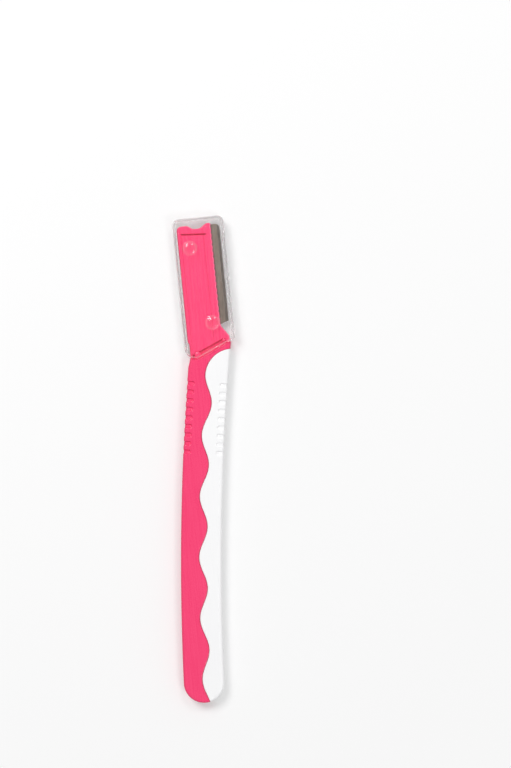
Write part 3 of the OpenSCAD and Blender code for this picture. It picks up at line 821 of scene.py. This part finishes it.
def makeHead():
    # Rings of the outline go over the front's rounded edge, in and out of the blade's slit and over
    # the back's edge. Rings of the recess go down to its floor, and flat fills close the rest.
    plate, steps = Moulding(), 5
    outline = roundedOutline(headCorners(), 0, steps)
    step = np.roll(outline, -1, 0) - np.roll(outline, 1, 0)
    outwards = step[:, 1] / np.maximum(np.linalg.norm(step, axis=1), nearZero)
    # Painted highlight on edges that face right and painted shade on edges that face left, by how far they
    # face so
    paintedEdgeLight = np.where(outwards > 0, -1, -head["paintedLeftShade"]) * outwards  # pale to the right, dark to the left
    rim = [(head["edge"] + border, 0.0, 0)]
    rim += [(*level, min(k, 1)) for k, level in enumerate(quarter(head["edge"]))]
    front = [(inset, headFront - drop, paintedEdgeLight * share) for inset, drop, share in rim]
    back = [(inset, headBack + drop, paintedEdgeLight * share) for inset, drop, share in rim][::-1]
    bladeSide = ((outline[:, 0] > head["width"] - head["slitReach"])
                 & (outline[:, 1] > head["notchStart"] - head["slitBelow"]))
    slitFloor = outline - np.where(bladeSide, head["slitDepth"], 0)[:, None] * [1, 0]
    slitTop, slitFoot = bladeHigh + head["slitGap"], bladeLow - head["slitGap"]
    slit = [(outline, slitTop), (slitFloor, slitTop), (slitFloor, slitFoot), (outline, slitFoot)]
    rings = np.vstack([ringStack(plate, headCorners(), front, steps),
                       [plate.add(headPlace(lifted(line, z))) for line, z in slit],
                       ringStack(plate, headCorners(), back, steps)])
    plate.join(rings, closeCols=True)
    floor = headFront - head["recess"]
    inSlot = roundedOutline(recessCorners())[:, 1] > head["height"] / 2
    down = [(-head["rimEdge"] - border, headFront)]
    down += [(-inset, headFront - drop) for inset, drop in quarter(head["rimEdge"], 3)]
    # Painted shade at the foot of the recess's walls and on its floor, darker in the slot than in the groove
    down += [(0.0, floor, head["wallShade"]),
             (head["rimEdge"], floor, np.where(inSlot, head["slotShade"], head["grooveShade"]))]
    recess = plate.join(ringStack(plate, recessCorners(), down), closeCols=True)
    plate.fill(rings[0], [recess[0]])
    plate.fill(recess[-1])
    plate.fill(rings[-1], upwards=False)
    return plate


makeHead().build("handle_body_head", "handle_body", "pink_plastic", "razor", pinkPlastic)

# A boss at the groove's left end and a pip at its right end, by (place, radius, rise)
boss = {"knobs": ((groove["left"], 1.0, 0.34), (groove["right"], 0.5, 0.15)), "arcs": 12,
        "foot": 0.05, "shoulder": 0.12, "round": 0.06, "roundFrom": 0.9}


def makeBoss():
    # Each is a cylinder whose top is a spherical cap with a rounded rim.
    knobs = Moulding()
    for place, size, rise in boss["knobs"]:
        radii = size * np.cos(np.linspace(0, math.pi / 2, boss["arcs"]))
        drawnIn = radii - boss["round"] * (radii > boss["roundFrom"] * size)
        wall = [(size, bladeHigh - boss["foot"]), (size, headFront - boss["shoulder"])]
        ball = list(zip(drawnIn, headFront + ballHeight(radii, size, rise)))
        index = turnedKnob(knobs, place, grooveV(place), wall + ball[1:])
        knobs.fill(index[0], upwards=False)
    return knobs


makeBoss().build("handle_body_boss", "handle_body", "pink_plastic", "razor", pinkPlastic)


# The cover: a plate between the groove and the slot, with fine ribs along it

def makeCover():
    # Columns run across and rows from the slanted foot to the slanted top. The front is flat less a
    # rounded edge, with ribs whose height is a squared cosine. The foot goes round the boss.
    left, right = cover["left"], cover["left"] + cover["width"]
    rim, plain = np.array(cover["rim"]), cover["plain"]
    us = np.linspace(left + plain, right - plain, cover["columns"])
    us = np.concatenate([left + rim, us, right - rim[::-1]])
    fromBoss = us - groove["left"]
    bite = np.sqrt(np.maximum(cover["bossRoom"] ** 2 - fromBoss ** 2, 0)) - groove["low"]
    foot = np.where(np.abs(fromBoss) < cover["bossRoom"], np.maximum(coverV(us), bite), coverV(us))
    run = slotV(us) - cover["slotWidth"] - foot
    fine = [(0, cover["endReach"], cover["endPitch"]), (1 - cover["endReach"], 1, cover["endPitch"])]
    share = uneven(0, 1, cover["rowPitch"], fine)[:, None]
    vs = foot + share * run
    ends = np.minimum(share, 1 - share) * run * math.cos(slantAngle / 2)
    sides = np.minimum(us - left, right - us)
    drop = np.maximum(roundDrop(ends, cover["edge"]), roundDrop(sides, cover["sideEdge"]))
    step = cover["width"] / (cover["ribs"] + 1)
    nearest = np.clip(np.round((us - left) / step), 1, cover["ribs"]) * step + left
    crown = np.cos(np.clip(np.abs(us - nearest) * 2 / cover["ribWidth"], 0, 1) * math.pi / 2) ** 2
    fadeIn = smooth((vs - coverV(right) - groove["width"]) / cover["ribEnd"])
    fadeOut = smooth((slotV(right) - groove["width"] - vs) / cover["ribEnd"])
    front = headFront - drop + cover["ribRise"] * crown * (fadeIn * fadeOut)
    back = 0 * front + headFront - head["recess"] + cover["lift"]
    u = us + 0 * vs
    piece = Moulding()
    top = piece.grid(headPlace(np.dstack([u, vs, front])))
    under = piece.grid(headPlace(np.dstack([u, vs, back])))
    piece.join(np.array([rimOf(under), rimOf(top)]), closeCols=True)
    return piece


makeCover().build("blade_cover_plate", "blade_cover", "pink_plastic", "razor", pinkPlastic)


# The blade: a thin strip with one ground edge

def makeBlade():
    # Columns go across one face, round the cutting edge and back; rows run from the slanted foot to
    # the top, which falls away as an arc at the outer corner and straight at the hidden one.
    faceColumns, arcColumns, rowCount, decimals = 16, 20, 60, 4
    inner, grind, corner = edgeU - blade["width"], edgeU - blade["grind"], blade["corner"]
    arc = edgeU - corner * (1 - np.cos(np.linspace(0, math.pi / 2, arcColumns)))
    us = np.concatenate([np.linspace(inner, grind, faceColumns), [inner + blade["cut"]], arc])
    us = np.unique(np.round(us, decimals))
    foot = blade["foot"] - (edgeU - us) * math.tan(math.radians(blade["slant"]))
    past = np.clip(us - edgeU + corner, 0, corner)
    top = blade["foot"] + blade["length"] - corner + np.sqrt(corner ** 2 - past ** 2)
    top = top - np.clip(inner + blade["cut"] - us, 0, blade["cut"])
    vs = foot + np.linspace(0, 1, rowCount)[:, None] * (top - foot)
    middle, thick = (bladeHigh + bladeLow) / 2, (bladeHigh - bladeLow) / 2
    thin = blade["blunt"] + (thick - blade["blunt"]) * np.clip((edgeU - us) / blade["grind"], 0, 1)
    u, rise = us + 0 * vs, thin + 0 * vs
    front = np.dstack([u, vs, middle + rise])
    back = np.dstack([u, vs, middle - rise])[:, ::-1]
    piece = Moulding()
    index = piece.grid(headPlace(np.concatenate([front, back], 1)), closeCols=True)
    for row in (index[0], index[-1]):
        piece.join(np.array([row[:len(us)], row[len(us):][::-1]]))
    return piece


makeBlade().build("blade_strip", "blade", "blade_steel", "razor", bladeSteel, sharp=6)


# The cap: a clear sleeve, closed at its top and open along its slanted mouth

def makeCap():
    # Outer skin: rings of the outline, drawn in along a quarter circle at front and back. Inner skin:
    # the same outline a wall further in, open at the mouth, where a rim joins the two. Two round domes
    # rise from the front.
    piece = Moulding()
    steps, bendSteps, lipSteps, crownSteps, sides = 24, 12, 40, 14, 72
    wall, thin, inner = cap["wall"], cap["skin"], cap["inner"]
    rim = [(cap["edge"] + border, 0.0)] + quarter(cap["edge"], 7)
    front = [(inset + thin, capFront - drop, min(1, drop / cap["clearDrop"])) for inset, drop in rim]
    back = [(inset + thin, drop, min(1, drop / cap["clearDrop"])) for inset, drop in rim][::-1]
    rings = ringStack(piece, capCorners, front + back, steps)
    n, lower = len(front), 2 * steps + 2
    piece.join(rings[:n], closeCols=True)
    piece.join(rings[n:], closeCols=True)
    piece.join(np.hstack([rings[n - 1:n + 1, lower - 1:], rings[n - 1:n + 1, :1]]))
    # The inner skin, from the mouth's right end over the top to its left end, turns into the two inner
    # faces along quarter circles
    line = roundedOutline(capCorners, thin, steps)[:lower]
    run = lengths(line)
    inLeft, inRight, inTop, bend = capLeft + wall, capRight - wall, capTop - wall, cap["corner"] - wall
    turn = np.linspace(0, math.pi / 2, bendSteps)
    levels = quarter(inner)
    inside, feet = [], []
    for inset, drop in levels + levels[::-1]:
        r = bend - inset
        path = np.vstack([
            np.column_stack([inRight - bend + r * np.cos(turn), inTop - bend + r * np.sin(turn)]),
            np.column_stack([inLeft + bend - r * np.sin(turn), inTop - bend + r * np.cos(turn)])])
        z = capFront - wall - drop if len(inside) < len(levels) else wall + drop
        us = np.array([inRight - inset, inLeft + inset])
        ends = np.column_stack([us, np.interp(us, *line.T)])
        bent = min(1, drop / cap["clearDrop"])
        inside.append(piece.add(headPlace(lifted(np.vstack([ends[:1], path, ends[1:]]), z)), bent))
        feet.append([(np.interp(u, line[:, 0], run), z) for u in us])
    inside, feet = np.array(inside), np.array(feet)
    piece.join(inside)
    # The flat inner faces end at the mouth's line, and the rim's end face lies round the opening
    us = np.linspace(inLeft + inner, inRight - inner, lipSteps)[1:-1]
    lip = np.column_stack([us, np.interp(us, *line.T)])
    lips = [piece.add(headPlace(lifted(lip, z))) for z in (capFront - wall, wall)]
    piece.fill(np.concatenate([lips[0], inside[0]]), upwards=False)
    piece.fill(np.concatenate([lips[1], inside[-1]]))
    places = np.interp(us, line[:, 0], run)
    hole = np.concatenate([inside[:, 0], lips[1][::-1], inside[::-1, -1], lips[0]])
    holeFlat = np.vstack([feet[:, 0], lifted(places[::-1, None], wall), feet[::-1, 1],
                          lifted(places[:, None], capFront - wall)])
    ring = np.concatenate([rings[n, :lower], rings[n - 1, :lower][::-1]])
    ringFlat = np.vstack([lifted(run[:, None], cap["edge"]), lifted(run[::-1, None], capFront - cap["edge"])])
    piece.fill(ring, [hole], flat=np.vstack([ringFlat, holeFlat]))
    # Each dome starts flat with the front and rises over a soft foot
    radii = cap["domeRadius"] + np.array(cap["domeFoot"])
    radii = np.concatenate([radii, np.linspace(radii[-1], 0, crownSteps)[1:]])
    heights = ballHeight(radii, cap["domeRadius"], cap["domeRise"] - cap["domeSink"])
    heights[0] = 0
    profile = list(zip(radii, capFront + heights))
    bent = np.interp(radii - cap["domeRadius"], *cap["domeShade"])
    holes = [turnedKnob(piece, u * head["width"], v * head["height"], profile, bent, sides)[0]
             for u, v in cap["domes"]]
    piece.fill(rings[0], holes)
    piece.fill(rings[-1], upwards=False)
    return piece


makeCap().build("clear_cap_shell", "clear_cap", "clear_plastic", "cap", clearPlastic)


# The table, the light and the camera. Light sizes and distances are in metres

studio = {
    "pixel": 0.305, "middle": (15.85, 22.95), "imageHeight": 768, "lens": 85.0, "sensor": 36.0,
    "nearest": 0.01, "floorReach": 3.0, "floorDrop": 5e-5, "floorWhite": 0.93, "floorGlow": 0.2,
    "shadowReach": (0.1, 0.5), "ambient": 0.5, "ceiling": 0.3, "lampDistance": 1.2,
}
lamps = {  # polar angle, azimuth, power, size
    "key_light": (38.0, 127.5, 6.7, 0.46),
    "back_light": (39.0, 68.0, 1.4, 0.24),
    "side_light": (34.0, -36.0, 1.7, 0.24),
}


def makeFloor():
    # A white square under the part. Near the part it takes light and shadow, and further off it turns
    # plain white to the camera and in what mirrors it.
    mesh = bpy.data.meshes.new("table_top")
    corners = np.array([(-1, -1, 0), (1, -1, 0), (1, 1, 0), (-1, 1, 0)]) * studio["floorReach"]
    mesh.from_pydata((corners - [0, 0, studio["floorDrop"]]).tolist(), [], [(0, 1, 2, 3)])
    floor = placed("table_top", mesh)
    white = (studio["floorWhite"],) * 3
    finish = Finish("table_white", {"Base Color": (*white, 1), "Roughness": 0.8, "Specular IOR Level": 0.2})
    camera, glossy, transmitted = finish.rays("camera", "glossy", "transmission")
    place = finish.node("ShaderNodeTexCoord", output=3)
    away = finish.node("ShaderNodeVectorMath", {"operation": "LENGTH"}, {0: place}, output=1)
    bright = finish.ranged(away, *studio["shadowReach"], studio["floorGlow"], 1)
    glow = finish.node("ShaderNodeEmission", {}, {"Color": (1, 1, 1, 1), "Strength": 1.0})
    lit = Socket(finish, finish.shader.outputs[0])
    share = (camera | glossy | transmitted) * bright
    mixed = finish.node("ShaderNodeMixShader", {}, {0: share, 1: lit, 2: glow})
    finish.tree.links.new(mixed.link, finish.tree.nodes["Material Output"].inputs["Surface"])
    mesh.materials.append(finish.material)


def makeWorld():
    # White for the camera and through clear pieces, a plain ambient level on surfaces, and for mirror
    # directions a white that falls off towards the ceiling.
    world = bpy.data.worlds.new("studio_white")
    bpy.context.scene.world = world
    world.use_nodes = True
    light = world.node_tree.nodes["Background"]
    light.inputs["Color"].default_value = (1, 1, 1, 1)
    sky = Nodes(world.node_tree)
    camera, diffuse, glossy, transmitted = sky.rays("camera", "diffuse", "glossy", "transmission")
    direction = sky.node("ShaderNodeTexCoord", output=0)
    up = sky.node("ShaderNodeSeparateXYZ", {}, {0: direction}, output=2)
    mirrored = 1 - (up | 0.0) * (1 - studio["ceiling"])
    strength = camera | transmitted | mirrored * glossy | diffuse * studio["ambient"]
    sky.tree.links.new(strength.link, light.inputs["Strength"])


def areaLight(name, polar, azimuth, power, size):
    # A square softbox that looks at the razor from a polar angle and an azimuth in degrees.
    polar, azimuth, reach = math.radians(polar), math.radians(azimuth), studio["lampDistance"]
    light = bpy.data.lights.new(name, "AREA")
    light.energy, light.size = power, size
    holder = placed(name, light)
    holder.location = (reach * math.sin(polar) * math.cos(azimuth),
                       reach * math.sin(polar) * math.sin(azimuth), reach * math.cos(polar))
    holder.rotation_euler = (0, polar, azimuth)


makeFloor()
makeWorld()
for name, lamp in lamps.items():
    areaLight(name, *lamp)

# The camera looks straight down, from where a pixel is its size at the head's front
camera = bpy.data.cameras.new("photo_camera")
camera.lens, camera.sensor_width, camera.clip_start = studio["lens"], studio["sensor"], studio["nearest"]
viewer = placed("photo_camera", camera)
distance = studio["imageHeight"] * studio["pixel"] * studio["lens"] / studio["sensor"]
viewer.location = (studio["middle"][0] * mm, studio["middle"][1] * mm, (distance + headFront) * mm)
bpy.context.scene.camera = viewer
bpy.context.scene.view_settings.view_transform = "Standard"
print("light and camera set")
